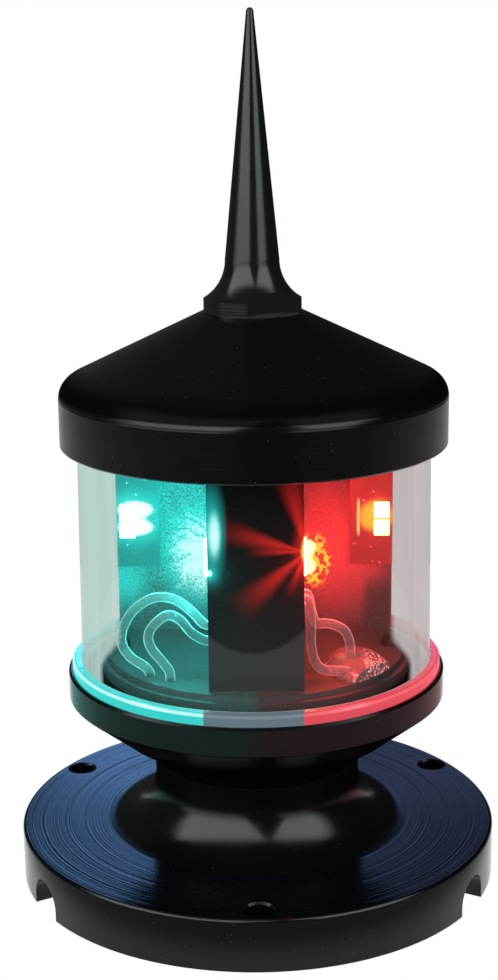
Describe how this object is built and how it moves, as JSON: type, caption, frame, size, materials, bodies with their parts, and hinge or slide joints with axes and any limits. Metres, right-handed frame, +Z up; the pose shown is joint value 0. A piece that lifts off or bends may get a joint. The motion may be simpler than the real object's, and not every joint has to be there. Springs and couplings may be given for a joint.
{
  "type": "navigation light",
  "caption": "Masthead navigation light: round screw-down base, spool housing, clear cylindrical lens with port, starboard and stern lamps, conical cap and a screwed-on spike.",
  "frame": {"origin": "centre of the underside of the mounting base", "axes": "+Z up the light's axis to the spike; -Y ahead, towards the front screen; +X port (red) side"},
  "size_m": [0.0888, 0.0888, 0.1572],
  "materials": {
    "base_metal": "blue-black anodised, lathe turned, semi-gloss",
    "housing_metal": "black anodised, semi-gloss",
    "spike_metal": "black anodised, satin, faint turning lines",
    "screen_black": "gloss black, slightly dusty",
    "lens_clear": "clear, polished, faint flow lines",
    "rubber_black": "matt",
    "screw_steel": "bright stainless",
    "screw_black": "black oxide",
    "circuit_board": "green solder mask",
    "red_lamp": "lit red",
    "green_lamp": "lit blue-green",
    "white_lamp": "lit white",
    "lead_sleeve": "clear sleeve over tinned wire",
    "sealant_clear": "clear cured sealant",
    "part_black": "moulded",
    "capacitor_blue": "sleeved can",
    "terminal_green": "moulded"
  },
  "bodies": {
    "light": {"mounting_base": "base_metal", "cable_grommet": "rubber_black", "base_seal": "rubber_black", "base_screws": "screw_steel", "lower_housing": "housing_metal", "lens_lower_seal": "rubber_black", "lens": "lens_clear", "lens_upper_seal": "rubber_black", "carrier_disc": "screen_black", "carrier_screws": "screw_black", "front_screen": "screen_black", "front_screen_screws": "screw_steel", "rear_screen": "screen_black", "rear_screen_screws": "screw_steel", "port_beam_board": "circuit_board", "port_ahead_board": "circuit_board", "starboard_beam_board": "circuit_board", "starboard_ahead_board": "circuit_board", "stern_board": "circuit_board", "red_lamps": "red_lamp", "green_lamps": "green_lamp", "white_lamps": "white_lamp", "port_leads": "lead_sleeve", "port_sealant": "sealant_clear", "starboard_leads": "lead_sleeve", "rear_leads": "lead_sleeve", "top_plate": "screen_black", "tie_rod": "screw_steel", "tie_sleeve": "screen_black", "tie_washer": "screw_steel", "tie_nut": "screw_steel", "driver_bracket": "screw_steel", "bracket_screws": "screw_steel", "driver_board": "circuit_board", "board_screws": "screw_steel", "driver_inductor": "part_black", "driver_capacitor": "capacitor_blue", "driver_chip": "part_black", "terminal_block": "terminal_green", "terminal_screws": "screw_steel", "cap": "housing_metal"},
    "seal": {"spike_seal": "rubber_black"},
    "spike": {"spike": "spike_metal"}
  },
  "joints": [
    {"name": "spike_lift", "type": "slide", "parent": "light", "child": "seal", "axis": [0, 0, 1], "range_m": [0, 0.009]},
    {"name": "spike_turn", "type": "hinge", "parent": "seal", "child": "spike", "pos_m": [0, 0, 0.105], "axis": [0, 0, 1], "range_deg": [0, 3240]}
  ],
  "couplings": [
    {"joint": "spike_lift", "follows": "spike_turn", "m_per_rad": 0.00015915}
  ]
}
